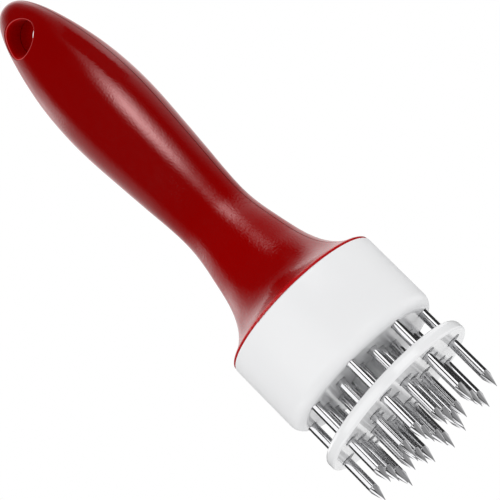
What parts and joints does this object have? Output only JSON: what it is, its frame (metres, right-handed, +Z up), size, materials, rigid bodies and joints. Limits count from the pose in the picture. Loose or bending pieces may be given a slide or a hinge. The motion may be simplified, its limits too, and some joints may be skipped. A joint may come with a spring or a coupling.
{
  "type": "blade meat tenderizer",
  "caption": "Hand-held meat tenderizer: turned handle, round head full of steel needles, and a sprung disc that strips the meat off them.",
  "frame": {"origin": "on the handle's axis, in the plane of the needle tips", "axes": "+Z up the handle's axis from the needle tips to the hanging hole; Y along the hanging hole; X across it, in the plane where the two handle shells meet"},
  "size_m": [0.06, 0.06, 0.2063],
  "materials": {
    "handle_plastic": "satin gloss, fine grain",
    "white_plastic": "satin gloss",
    "needle_steel": "drawn and polished",
    "fastener_steel": "plain",
    "spring_steel": "drawn wire"
  },
  "bodies": {
    "handle_and_needles": {"front_handle_shell": "handle_plastic", "rear_handle_shell": "handle_plastic", "needle_housing": "white_plastic", "needle_outer_1": "needle_steel", "needle_outer_2": "needle_steel", "needle_outer_3": "needle_steel", "needle_outer_4": "needle_steel", "needle_outer_5": "needle_steel", "needle_outer_6": "needle_steel", "needle_outer_7": "needle_steel", "needle_outer_8": "needle_steel", "needle_middle_1": "needle_steel", "needle_middle_2": "needle_steel", "needle_middle_3": "needle_steel", "needle_middle_4": "needle_steel", "needle_middle_5": "needle_steel", "needle_middle_6": "needle_steel", "needle_middle_7": "needle_steel", "needle_middle_8": "needle_steel", "needle_inner_1": "needle_steel", "needle_inner_2": "needle_steel", "needle_inner_3": "needle_steel", "needle_inner_4": "needle_steel", "needle_inner_5": "needle_steel", "needle_inner_6": "needle_steel", "needle_inner_7": "needle_steel", "needle_inner_8": "needle_steel", "retainer_plate": "fastener_steel", "retainer_screw_1": "fastener_steel", "retainer_screw_2": "fastener_steel", "retainer_screw_3": "fastener_steel", "retainer_screw_4": "fastener_steel", "spring_seat": "fastener_steel", "return_spring": "spring_steel"},
    "stripper": {"stripper_disc": "white_plastic", "stem_washer": "fastener_steel", "stem_screw": "fastener_steel"}
  },
  "joints": [
    {"name": "stripper_slide", "type": "slide", "parent": "handle_and_needles", "child": "stripper", "axis": [0, 0, 1], "range_m": [0, 0.008], "stiffness_N_per_m": 900, "springref_m": -0.006, "deforming": ["return_spring"]}
  ]
}
